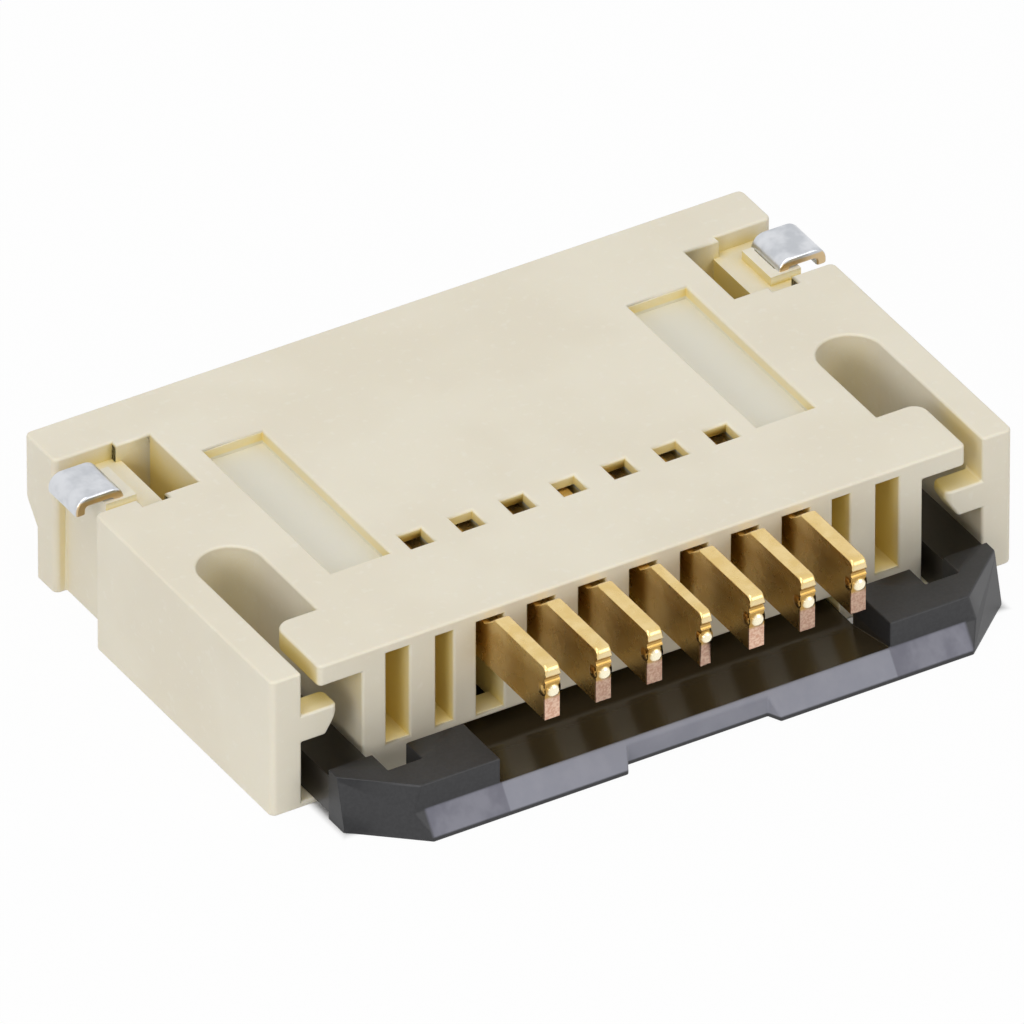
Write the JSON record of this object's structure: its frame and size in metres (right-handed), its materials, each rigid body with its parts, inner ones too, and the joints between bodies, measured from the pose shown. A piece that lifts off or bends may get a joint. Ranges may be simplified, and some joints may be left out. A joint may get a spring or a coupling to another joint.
{
  "type": "fpc connector",
  "caption": "Surface-mount slider-type connector that grips a flat flexible cable, shown open with its solder side up.",
  "frame": {"origin": "centre of the bounding box on the plane that the cover side lies on", "axes": "+Z towards the solder side that meets the board, -Y out of the cable mouth, +X along the contact row"},
  "size_m": [0.0148, 0.0106, 0.0028],
  "materials": {
    "housing_plastic": "satin moulded cream liquid crystal polymer",
    "slider_plastic": "black moulded plastic, glossy on the cable face",
    "gold_plate": "gold plated copper alloy strip with bare sheared ends",
    "tin_plate": "dull bright tin plate"
  },
  "bodies": {
    "housing": {"housing": "housing_plastic", "contact_1": "gold_plate", "contact_2": "gold_plate", "contact_3": "gold_plate", "contact_4": "gold_plate", "contact_5": "gold_plate", "contact_6": "gold_plate", "contact_7": "gold_plate", "solder_nail_left": "tin_plate", "solder_nail_right": "tin_plate"},
    "slider": {"slider": "slider_plastic"}
  },
  "joints": [
    {"name": "slider_close", "type": "slide", "parent": "housing", "child": "slider", "axis": [0, 1, 0], "range_m": [0, 0.00045]}
  ]
}
